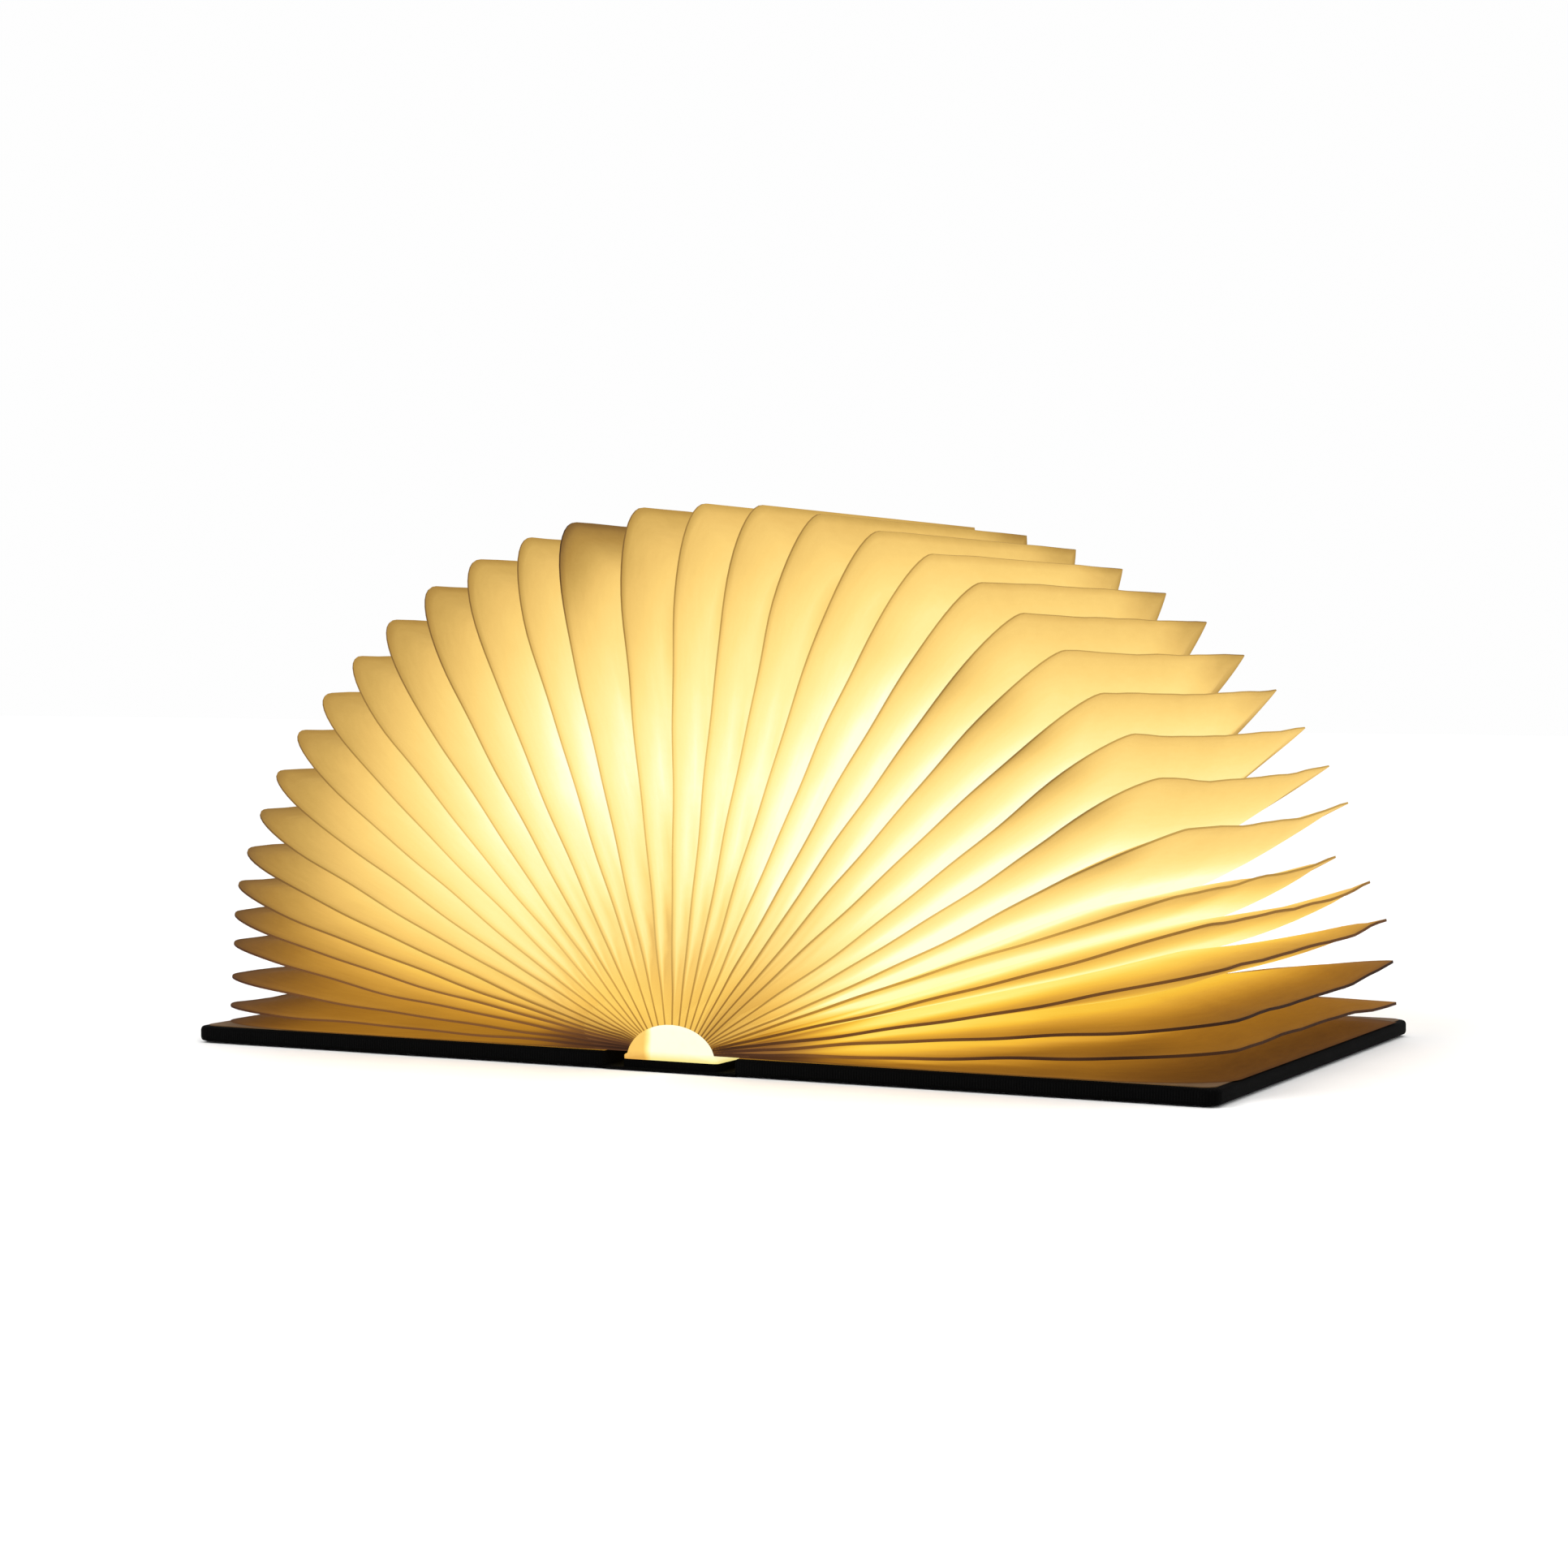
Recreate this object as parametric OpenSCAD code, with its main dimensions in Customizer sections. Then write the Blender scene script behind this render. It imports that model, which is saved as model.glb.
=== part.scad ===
// Folding book lamp: two hinged covers, a light bar on the spine and a fan of
// paper leaves.  Millimetres, +Z up.  The lamp lies open and flat on z = 0,
// the spine runs along Y, and the origin is under the middle of the spine.

/* [Covers] */
// Width of the lamp lying open, across both covers
open_w = 205; // [196:1:216]
// Length of the covers, along the spine
cover_l = 122; // [112:1:132]
// Thickness of the stiff board in each cover
board_t = 2.4; // [2:0.1:2.6]
// Thickness of the covering cloth
cloth_t = 0.35; // [0.25:0.05:0.4]
// Radius of the two outer corners of each cover
cover_corner_r = 2.5; // [1.5:0.5:5]
// Width of the cloth turned in over the board's rim
turn_in_w = 11; // [8:1:16]
// How far each cover folds back from lying flat, in degrees
fold_back = 97.5; // [90:0.5:97.5]

/* [Light bar] */
// Width of the diffuser over its two feet
bar_w = 19; // [18:0.5:20]
// Height of the diffuser above the spine board
bar_h = 6.6; // [6.4:0.1:7.4]
// Wall thickness of the diffuser
bar_wall = 1.2; // [1:0.1:1.4]
// Height of the diffuser's foot lip
foot_h = 0.8; // [0.6:0.1:1]
// Number of light-emitting diodes
led_count = 9; // [5:1:9]

/* [Leaves] */
// Radius of the fan at its top
fan_r_top = 100; // [94:0.5:104]
// How far the fan stops short of the covers' outer edges
fan_in = 0.2; // [0:0.1:8]
// Thickness of a leaf's glued seam, two sheets together
seam_t = 0.3; // [0.2:0.02:0.34]
// Width of the glued seam round a leaf's rim
seam_w = 3; // [2:0.25:5]
// Depth of the fold between two leaves, from rim to valley
fold_depth = 27; // [18:1:30]
// Length of a leaf's rounded near corner along the spine
corner_y = 12.5; // [6:0.5:16]
// Length of a leaf's rounded near corner away from the spine
corner_s = 22; // [12:1:30]
// Length of a leaf's pointed far corner along the spine
far_corner_y = 15; // [6:0.5:18]
// Length of a leaf's pointed far corner away from the spine
far_corner_s = 29; // [12:1:34]
// How closely the leaves crowd the left cover (1 is even)
crowd_left = 1.4; // [1:0.05:1.5]
// How closely the leaves crowd the right cover (1 is even)
crowd_right = 1.21; // [1:0.05:1.5]
// Extra lean of the leaf beside the widest gap, in degrees
gap_lean = 1.2; // [0:0.1:2]
// How much shorter the one short leaf is
short_by = 6.5; // [0:0.5:10]

/* [Hidden] */
$fn = 48;
slip = 0.05;                       // clearance of a piece that drops into its seat
paper_t = seam_t / 2;              // one sheet of leaf paper
fold_land = 3;                     // width of the glued valley of a fold
end_paper_t = 0.15;
turn_in_t = 0.2;

// Leaves: 1..34 are paper, 0 and 35 are the faces of the two covers.
last = 35;
middle = 18;                       // stands upright and never moves
gap_leaf = 16;
short_leaf = 30;

// Cover levels, from the table up
board_z = cloth_t;
turn_in_z = board_z + board_t;
end_paper_z = turn_in_z + turn_in_t;
cover_t = end_paper_z + end_paper_t;

// Spine and hinge lines
spine_top = 1.8;                   // top of the spine board, where the bar stands
hinge_z = 0.15;                    // the covering cloth is the hinge
leaf_half = bar_w / 2 + 0.15;      // half of the room between the closed covers
hinge_x = leaf_half + cover_t - hinge_z;
hinge_gap = 0.8;                   // free cloth each side of the hinge line
spine_half = bar_w / 2 - 0.2;
board_in = hinge_x + hinge_gap + 0.2;
board_out = open_w / 2 - cloth_t;
leaf_y = cover_l / 2 - 1;          // half length of a leaf
bar_y = cover_l / 2 - 0.6;         // half length of the light bar
fan_z = 2;                         // height of the fan's centre
fan_r_side = open_w / 2 - fan_in;  // radius of the fan just above the covers

// Light bar
cap_t = 1.2;
dome_half = bar_w / 2 - 0.5;
tray_floor = 0.8;
tray_rim = 0.6;                    // height of the tray's two side walls over its floor
tray_top = spine_top + tray_floor;
// Half width of the room inside the diffuser at a height z above the table
function room(z) = (dome_half - bar_wall)
    * sqrt(1 - pow((z - spine_top) / (bar_h - bar_wall), 2));
tray_half = room(tray_top + tray_rim) - slip;
tray_y = bar_y - cap_t;
led_z = spine_top + bar_h - bar_wall - 2;   // underside of the diode board
led_board_t = 0.8;
led_board_w = 8.8;
led_board_free = [3.4, 10.4];      // from the bar's two ends to the diode board
led_board_y = [led_board_free[0] - bar_y, bar_y - led_board_free[1]];
led_size = [3.5, 2.8, 0.7];
led_end = 5;                       // from a board's end to its end diode
battery_free = [10.4, 28.4];       // from the bar's two ends to the battery
battery_size = [2 * room(led_z) - 0.4, 2 * bar_y - battery_free[0] - battery_free[1],
    led_z - tray_top];
battery_y = (battery_free[0] - battery_free[1]) / 2;
screw_free = [3.6, 23];            // from the bar's two ends to the screws
screw_y = [screw_free[0] - bar_y, bar_y - screw_free[1]];
screw_r = 0.9;
screw_head_r = 1.9;
screw_head_h = 0.9;
post_free = [7.2, 26.6];           // from the bar's two ends to the board's two posts
post_y = [post_free[0] - bar_y, bar_y - post_free[1]];
post_size = [7, 1.6];
board_free = 19.4;                 // from the bar's far end to the control board's inner end
board_y0 = bar_y - board_free;
control_t = 0.8;
control_half = 6.6;
usb_w = 8.94;                      // USB-C receptacle, outer width
usb_h = 3.26;                      // and height
usb_l = 7.35;
usb_wall = 0.3;
usb_z = 4.45;                      // height of the receptacle's middle
sensor_size = [4, 1.5, 1.6];
sensor_free = 14.4;                // from the bar's far end to the sensor
sensor_at = [3.9, bar_y - sensor_free];     // middle of the sensor on the control board

// Magnets in each cover
magnet_r = 4;
magnet_h = 1.5;
magnet_free = [12, 18];            // from a cover's edges to its corner magnets
magnet_x = open_w / 2 - magnet_free[0];
magnet_y = cover_l / 2 - magnet_free[1];
sensor_magnet = [hinge_x + 8, sensor_at[1]];
magnet_at = [[magnet_x, magnet_y], [magnet_x, -magnet_y], sensor_magnet];

// ---- where each leaf lies -------------------------------------------------
// Every leaf of a side turns about that side's hinge line.  Closed, the leaves
// stand upright side by side at even steps; open, they lean out as a fan.
function side(j) = j < middle ? -1 : 1;
function closed_x(j) = leaf_half * (j - last / 2) / (last / 2);
// Angle of the leaf above its own cover
function lean(j) = side(j) > 0
    ? 90 * pow((last - j) / (last - middle), crowd_right)
    : 90 * pow(j / middle, crowd_left) - (j == gap_leaf ? gap_lean : 0);
// Distance of the leaf's plane from the hinge line
function reach(j) = hinge_x - abs(closed_x(j));
// Foot of the hinge line on the leaf's plane, on a side folded over to +X
function foot(j) = [hinge_x - reach(j) * sin(lean(j)), hinge_z + reach(j) * cos(lean(j))];
function fan_r(j) = fan_r_top + (fan_r_side - fan_r_top) * cos(lean(j))
    - (j == short_leaf ? short_by : 0);
// How far the leaf's rim lies from that foot, so its tip is on the fan's arc
function rim_s(j) = let (q = foot(j) - [0, fan_z], a = q * [cos(lean(j)), sin(lean(j))])
    sqrt(fan_r(j) * fan_r(j) - q * q + a * a) - a;
// Height of the diffuser's outside at a distance x from its middle
function dome_z(x) = spine_top
    + (abs(x) < dome_half ? bar_h * sqrt(1 - pow(x / dome_half, 2)) : foot_h);
// Inner ends of the leaf clear the diffuser when the book is closed
function start_s(j) = dome_z(closed_x(j)) + 0.6 - hinge_z;
// A point of the leaf's plane in space
function on_leaf(j, p, off = 0) = let (f = foot(j), a = lean(j))
    [side(j) * (f[0] + p[0] * cos(a) - off * sin(a)), p[1], f[1] + p[0] * sin(a) + off * cos(a)];

// The open outline of leaf j, set in from its rim: near leg, rounded corner,
// fore edge, pointed corner, far leg
corner_steps = 5;
far_turn = 60;                     // the far corner meets the fore edge before it is round
function outline_half(j, inset, way) = let (
        k = inset / fold_depth, far = way > 0,
        tip = rim_s(j) - inset, y = leaf_y - inset,
        a = (far ? far_corner_s : corner_s) * (1 - 0.45 * k),
        b = (far ? far_corner_y : corner_y) * (1 - 0.3 * k),
        turn = far ? far_turn : 90)
    [[start_s(j), way * y],
     for (i = [0:corner_steps]) let (t = turn * i / corner_steps)
        [tip - a + a * sin(t) / sin(turn), way * (y - b + b * cos(t))]];
function flip(v) = [for (i = [len(v) - 1:-1:0]) v[i]];
function outline(j, inset) = concat(outline_half(j, inset, -1), flip(outline_half(j, inset, 1)));

// ---- leaves ---------------------------------------------------------------
module leaf(j) {
    // glued seam along three edges of the leaf
    color([0.98, 0.9, 0.66])
    mirror([side(j) < 0 ? 1 : 0, 0, 0])
    translate([hinge_x, 0, hinge_z]) rotate([0, -lean(j), 0])
    translate([0, 0, reach(j) - seam_t / 2])
    linear_extrude(seam_t)
        polygon(concat(outline(j, 0), flip(outline(j, seam_w))));
}

// Which way off leaf j's plane the next leaf up the row lies
function toward(j, next) = (next > j ? -1 : 1) * side(j);
// Rim and valley points of the sheets between leaves j and j + 1
function seam_line(j, next, off) =
    [for (p = outline(j, seam_w)) on_leaf(j, p, toward(j, next) * off)];
function valley_line(j, deeper) = let (
        a = outline(j, fold_depth + deeper), b = outline(j + 1, fold_depth + deeper))
    [for (i = [0:len(a) - 1]) (on_leaf(j, a[i]) + on_leaf(j + 1, b[i])) / 2];

module fold_between(j) {
    // two sheets that meet in a valley: a six-sided section carried along the outline
    hair = 0.01;
    rows = [
        seam_line(j, j + 1, hair), seam_line(j, j + 1, paper_t),
        valley_line(j, 0),
        seam_line(j + 1, j, paper_t), seam_line(j + 1, j, hair),
        valley_line(j, fold_land)];
    n = len(rows[0]);
    m = len(rows);
    points = [for (i = [0:n - 1]) for (r = [0:m - 1]) rows[r][i]];
    // both faces of a sheet are split along the same diagonal, so it keeps its thickness
    walls = [for (i = [0:n - 2]) for (r = [0:m - 1]) let (
            a = i * m + r, b = i * m + (r + 1) % m, c = b + m, d = a + m)
        each (r % 3 == 1) == (2 * i < n - 1)
            ? [[a, c, b], [a, d, c]] : [[a, d, b], [d, c, b]]];
    cap = [[0, 1, 5], [1, 2, 5], [2, 4, 5], [2, 3, 4]];
    ends = [each cap, for (t = cap) flip([for (v = t) v + (n - 1) * m])];
    polyhedron(points, concat(walls, ends));
}

module pleats_left() {
    color([0.95, 0.86, 0.6]) for (j = [0:middle - 1]) fold_between(j);
}
module pleats_right() {
    color([0.95, 0.86, 0.6]) for (j = [middle:last - 1]) fold_between(j);
}

// ---- covers (drawn for the right side, mirrored for the left) --------------
module cover_plate(x0, x1, y, r) {
    // a rectangle with its two outer corners rounded
    translate([x0, -y]) square([x1 - x0 - r, 2 * y]);
    translate([x0, -y + r]) square([x1 - x0, 2 * (y - r)]);
    for (s = [-1, 1]) translate([x1 - r, s * (y - r)]) circle(r);
}
board_y = cover_l / 2 - cloth_t;
module cover_board() {
    color([0.45, 0.36, 0.26])
    difference() {
        translate([0, 0, board_z]) linear_extrude(board_t)
            cover_plate(board_in, board_out, board_y, cover_corner_r - cloth_t);
        for (p = magnet_at) translate([p[0], p[1], turn_in_z - magnet_h - slip])
            cylinder(r = magnet_r + slip, h = magnet_h + 1);
    }
}
module cover_wrap() {
    color([0.03, 0.03, 0.035])
    difference() {
        linear_extrude(turn_in_z + turn_in_t)
            cover_plate(board_in - 0.2, open_w / 2, cover_l / 2, cover_corner_r);
        translate([0, 0, board_z]) linear_extrude(board_t)
            cover_plate(0, board_out, board_y, cover_corner_r - cloth_t);
        translate([0, 0, turn_in_z - 1]) linear_extrude(3)
            cover_plate(0, open_w / 2 - turn_in_w, cover_l / 2 - turn_in_w, 0.01);
    }
}
module endpaper() {
    color([0.5, 0.38, 0.2]) {
        translate([0, 0, end_paper_z]) linear_extrude(end_paper_t)
            cover_plate(board_in, open_w / 2 - 1.2, cover_l / 2 - 1.2, cover_corner_r);
        translate([board_in, -cover_l / 2 + turn_in_w, turn_in_z])
            cube([open_w / 2 - turn_in_w - board_in, cover_l - 2 * turn_in_w, turn_in_t]);
    }
}
module cover_magnets() {
    color("silver") for (p = magnet_at)
        translate([p[0], p[1], turn_in_z - magnet_h - slip]) cylinder(r = magnet_r, h = magnet_h);
}
module hinge_strip() {
    color([0.05, 0.05, 0.055]) translate([hinge_x - hinge_gap, -cover_l / 2, 0])
        cube([2 * hinge_gap, cover_l, cloth_t]);
}

module cover_board_right() { cover_board(); }
module cover_board_left() { mirror([1, 0, 0]) cover_board(); }
module cover_wrap_right() { cover_wrap(); }
module cover_wrap_left() { mirror([1, 0, 0]) cover_wrap(); }
module endpaper_right() { endpaper(); }
module endpaper_left() { mirror([1, 0, 0]) endpaper(); }
module cover_magnets_right() { cover_magnets(); }
module cover_magnets_left() { mirror([1, 0, 0]) cover_magnets(); }
module hinge_strip_right() { hinge_strip(); }
module hinge_strip_left() { mirror([1, 0, 0]) hinge_strip(); }

// ---- spine ----------------------------------------------------------------
module spine_wrap() {
    color([0.03, 0.03, 0.035]) translate([-hinge_x + hinge_gap, -cover_l / 2, 0])
        cube([2 * (hinge_x - hinge_gap), cover_l, cloth_t]);
}
module spine_board() {
    color([0.1, 0.09, 0.08])
    difference() {
        translate([-spine_half, -bar_y, cloth_t])
            cube([2 * spine_half, 2 * bar_y, spine_top - cloth_t]);
        for (y = screw_y) translate([0, y, cloth_t + 0.2]) cylinder(r = screw_r + slip, h = 5);
    }
}

// ---- light bar -------------------------------------------------------------
// Half-round section of the bar, its foot lip included, set in by a wall
module bar_section(wall, lip) {
    a = dome_half - wall;
    b = bar_h - wall;
    polygon([for (t = [0:6:180]) [a * cos(t), b * sin(t)]]);
    if (lip) translate([-bar_w / 2, 0]) square([bar_w, foot_h]);
}
module along_bar(y0, y1) {
    translate([0, y1, spine_top]) rotate([90, 0, 0]) linear_extrude(y1 - y0) children();
}
module diffuser() {
    color([1, 0.96, 0.78]) along_bar(-tray_y, tray_y)
        difference() {
            bar_section(0, true);
            bar_section(bar_wall, false);
        }
}
module end_cap_near() {
    color([1, 0.96, 0.8]) along_bar(-bar_y, -tray_y) bar_section(0, true);
}
module usb_outline(grow) {
    r = usb_h / 2 + grow;
    for (s = [-1, 1]) translate([s * (usb_w - usb_h) / 2, usb_z - spine_top]) circle(r);
    translate([-(usb_w - usb_h) / 2, usb_z - spine_top - r]) square([usb_w - usb_h, 2 * r]);
}
module end_cap_far() {
    color([0.95, 0.92, 0.78])
    difference() {
        along_bar(tray_y, bar_y) bar_section(0, true);
        along_bar(tray_y - 1, bar_y + 1) usb_outline(slip);
    }
}
module hub_tray() {
    color([0.85, 0.84, 0.8])
    difference() {
        union() {
            translate([-tray_half, -tray_y, spine_top]) cube([2 * tray_half, 2 * tray_y, tray_floor]);
            for (s = [-1, 1]) translate([s * (tray_half - 0.3) - 0.3, -tray_y, spine_top])
                cube([0.6, 2 * tray_y, tray_floor + tray_rim]);
            for (y = post_y) translate([-post_size[0] / 2, y - post_size[1] / 2, spine_top])
                cube([post_size[0], post_size[1], led_z - spine_top]);
        }
        for (y = screw_y) translate([0, y, 0]) cylinder(r = screw_r + slip, h = 5);
    }
}
module hub_screws() {
    color("silver") for (y = screw_y) translate([0, y, cloth_t + 0.3]) {
        cylinder(r = screw_r, h = tray_top - cloth_t - 0.3);
        translate([0, 0, tray_top - cloth_t - 0.3]) cylinder(r = screw_head_r, h = screw_head_h);
    }
}
module battery() {
    color([0.75, 0.76, 0.78])
        translate([-battery_size[0] / 2, battery_y - battery_size[1] / 2, tray_top]) cube(battery_size);
}
module led_board() {
    color([0.93, 0.93, 0.9])
        translate([-led_board_w / 2, led_board_y[0], led_z])
            cube([led_board_w, led_board_y[1] - led_board_y[0], led_board_t]);
}
module leds() {
    pitch = (led_board_y[1] - led_board_y[0] - 2 * led_end) / (led_count - 1);
    color([1, 0.85, 0.35]) for (i = [0:led_count - 1])
        translate([-led_size[0] / 2, led_board_y[0] + led_end + i * pitch - led_size[1] / 2,
            led_z + led_board_t])
            cube(led_size);
}
module control_board() {
    // notched for the receptacle, which is sunk into it
    color([0.1, 0.35, 0.2])
    difference() {
        translate([-control_half, board_y0, tray_top])
            cube([2 * control_half, tray_y - board_y0, control_t]);
        translate([-usb_w / 2 - slip, bar_y - usb_l, tray_top - slip])
            cube([usb_w + 2 * slip, usb_l, control_t + 2 * slip]);
    }
}
module usb_socket() {
    color("silver") {
        difference() {
            along_bar(bar_y - usb_l, bar_y) usb_outline(0);
            along_bar(bar_y - usb_l + 1, bar_y + 1) usb_outline(-usb_wall);
        }
        along_bar(bar_y - usb_l + 0.5, bar_y - 1)
            translate([-3.3, usb_z - spine_top - 0.35]) square([6.6, 0.7]);
    }
}
module hall_sensor() {
    color([0.08, 0.08, 0.08])
        translate([sensor_at[0] - sensor_size[0] / 2, sensor_at[1] - sensor_size[1] / 2,
            tray_top + control_t])
            cube(sensor_size);
}

LEAVES = [for (j = [1:last - 1]) str("page_", j < 10 ? "0" : "", j)];
spine_wrap();
spine_board();
hub_tray();
hub_screws();
battery();
led_board();
leds();
control_board();
usb_socket();
hall_sensor();
diffuser();
end_cap_near();
end_cap_far();
hinge_strip_left();
hinge_strip_right();
cover_wrap_left();
cover_wrap_right();
cover_board_left();
cover_board_right();
cover_magnets_left();
cover_magnets_right();
endpaper_left();
endpaper_right();
pleats_left();
pleats_right();
for (j = [1:last - 1]) leaf(j);
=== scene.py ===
"""Folding book lamp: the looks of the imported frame.  Metres, in the row frame."""
import math

import bpy
import numpy as np
from mathutils import Matrix, Vector


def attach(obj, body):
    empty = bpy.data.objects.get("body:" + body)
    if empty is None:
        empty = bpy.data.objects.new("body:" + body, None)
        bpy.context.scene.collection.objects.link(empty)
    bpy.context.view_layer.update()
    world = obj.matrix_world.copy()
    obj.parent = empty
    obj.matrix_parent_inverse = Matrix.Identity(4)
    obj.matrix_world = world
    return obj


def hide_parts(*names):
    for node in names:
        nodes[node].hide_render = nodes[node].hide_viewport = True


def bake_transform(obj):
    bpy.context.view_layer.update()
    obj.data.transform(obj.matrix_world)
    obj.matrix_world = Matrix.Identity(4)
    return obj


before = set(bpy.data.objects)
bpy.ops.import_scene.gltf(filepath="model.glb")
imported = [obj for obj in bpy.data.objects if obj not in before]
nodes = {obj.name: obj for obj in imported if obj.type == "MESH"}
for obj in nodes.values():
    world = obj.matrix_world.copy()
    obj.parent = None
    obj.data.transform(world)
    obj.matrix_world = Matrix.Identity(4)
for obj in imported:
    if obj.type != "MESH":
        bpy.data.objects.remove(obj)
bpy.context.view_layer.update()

# ---- the lamp's own sizes, in millimetres, as in the part's source -------------------
MM = 0.001
LAST, MIDDLE, GAP_LEAF, SHORT_LEAF = 35, 18, 16, 30
OPEN_HALF, COVER_HALF_L, COVER_R = 102.5, 61.0, 2.5
CLOTH_T, WRAP_TOP, COVER_T, TURN_IN = 0.35, 2.95, 3.1, 11.0
HINGE_X, HINGE_Z, HINGE_GAP = 12.6, 0.15, 0.8
BOARD_IN = HINGE_X + HINGE_GAP + 0.2
LEAF_HALF, LEAF_Y, BAR_Y = 9.65, 60.0, 60.4
FAN_TOP, FAN_SIDE, FAN_Z, SHORT_BY = 100.0, 102.3, 2.0, 6.5
SEAM_T, SEAM_W, FOLD = 0.3, 3.0, 27.0
CORNER_Y, CORNER_S = 12.5, 22.0
FAR_CORNER_Y, FAR_CORNER_S, FAR_TURN = 15.0, 29.0, 60
CROWD_LEFT, CROWD_RIGHT, GAP_LEAN = 1.4, 1.21, 1.2
SPINE_TOP, DOME_HALF, BAR_H, FOOT_HALF, FOOT_H, CAP_T = 1.8, 9.0, 6.6, 9.5, 0.8, 1.2

# ---- the staging: metres and degrees -------------------------------------------------
FLOOR_HALF, FLOOR_Z, FLOOR_WHITE = 3, -0.0003, (0.16, 0.75)
LOOK_AT = (0, 0, 0.04)
LIGHTS = [("key", (-0.7, -0.9, 1.1), 1.0, 13), ("fill", (1.1, -0.7, 0.8), 1.2, 8),
          ("top", (0.1, 0.5, 1.4), 1.2, 9)]      # name, place, size, power
IMAGE_PX, FOCAL_PX, SENSOR_MM = 1932, 4011.58, 36
EYE, AZIMUTH, DOWN, ROLL = (0.26885, -0.57545, 0.07253), 25.565, 2.0675, 0.256

NOTHING = (0.0, 0.0, 0.0, 1)


def smooth(x, lo, hi):
    """0 at lo, 1 at hi and a soft step between; lo may be the larger one."""
    t = np.clip((np.asarray(x, float) - lo) / (hi - lo), 0, 1)
    return t * t * (3 - 2 * t)


# ---- materials -----------------------------------------------------------------------
def srgb(r, g, b):
    def one(c):
        c /= 255
        return c / 12.92 if c <= 0.04045 else ((c + 0.055) / 1.055) ** 2.4
    return one(r), one(g), one(b), 1.0


class Mat:
    """A node material with short helpers."""

    def __init__(self, name, roughness=0.8, metallic=0.0):
        self.m = bpy.data.materials.new(name)
        self.m.use_nodes = True
        self.t = self.m.node_tree
        self.b = self.t.nodes["Principled BSDF"]
        self.b.inputs["Roughness"].default_value = roughness
        self.b.inputs["Metallic"].default_value = metallic

    def new(self, kind, **values):
        n = self.t.nodes.new(kind)
        for k, v in values.items():
            setattr(n, k, v)
        return n

    def link(self, a, b):
        self.t.links.new(a, b)

    def attribute(self, name):
        return self.new("ShaderNodeAttribute", attribute_name=name).outputs["Fac"]

    def coords(self, kind="Object", scale=(1, 1, 1)):
        c = self.new("ShaderNodeTexCoord")
        m = self.new("ShaderNodeMapping")
        m.inputs["Scale"].default_value = scale
        self.link(c.outputs[kind], m.inputs["Vector"])
        return m.outputs["Vector"]

    def noise(self, vector, scale, detail=4, rough=0.55):
        n = self.new("ShaderNodeTexNoise")
        n.inputs["Scale"].default_value = scale
        n.inputs["Detail"].default_value = detail
        n.inputs["Roughness"].default_value = rough
        self.link(vector, n.inputs["Vector"])
        return n.outputs["Fac"]

    def math(self, op, a, b=None, clamp=False):
        n = self.new("ShaderNodeMath", operation=op, use_clamp=clamp)
        for i, v in enumerate((a, b)):
            if v is None:
                continue
            if isinstance(v, (int, float)):
                n.inputs[i].default_value = v
            else:
                self.link(v, n.inputs[i])
        return n.outputs[0]

    def span(self, value, lo, hi, to_lo=0.0, to_hi=1.0):
        n = self.new("ShaderNodeMapRange", clamp=True)
        for name, v in (("From Min", lo), ("From Max", hi),
                        ("To Min", to_lo), ("To Max", to_hi)):
            n.inputs[name].default_value = v
        self.link(value, n.inputs["Value"])
        return n.outputs["Result"]

    def ramp(self, fac, stops):
        n = self.new("ShaderNodeValToRGB")
        e = n.color_ramp.elements
        while len(e) < len(stops):
            e.new(0.5)
        for i, (at, colour) in enumerate(stops):
            e[i].position = at
            e[i].color = srgb(*colour)
        self.link(fac, n.inputs["Fac"])
        return n.outputs["Color"]

    def mix(self, fac, a, b, kind="MIX"):
        n = self.new("ShaderNodeMix", data_type="RGBA", blend_type=kind)
        # the node's factor and two colours; the sockets between are for other kinds of data
        for i, v in ((0, fac), (6, a), (7, b)):
            if isinstance(v, (int, float, tuple)):
                n.inputs[i].default_value = v
            else:
                self.link(v, n.inputs[i])
        return n.outputs[2]

    def stray(self, value, noise, amount):
        """The value, moved up and down by a noise."""
        off = self.math("SUBTRACT", noise, 0.5)
        return self.math("ADD", value, self.math("MULTIPLY", off, amount))

    def dimmed(self, colour, share):
        return self.mix(1.0, colour, (share, share, share, 1), "MULTIPLY")

    def xyz(self, vector):
        n = self.new("ShaderNodeSeparateXYZ")
        self.link(vector, n.inputs[0])
        return n.outputs

    def bump(self, height, strength, distance):
        n = self.new("ShaderNodeBump")
        n.inputs["Strength"].default_value = strength
        n.inputs["Distance"].default_value = distance
        self.link(height, n.inputs["Height"])
        self.link(n.outputs["Normal"], self.b.inputs["Normal"])

    def base(self, colour):
        self.link(colour, self.b.inputs["Base Color"])
        return self

    def glow(self, colour, strength):
        if isinstance(colour, tuple):
            self.b.inputs["Emission Color"].default_value = colour
        else:
            self.link(colour, self.b.inputs["Emission Color"])
        self.b.inputs["Emission Strength"].default_value = strength
        return self

    def shine(self, level):
        self.b.inputs["Specular IOR Level"].default_value = level


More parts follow.
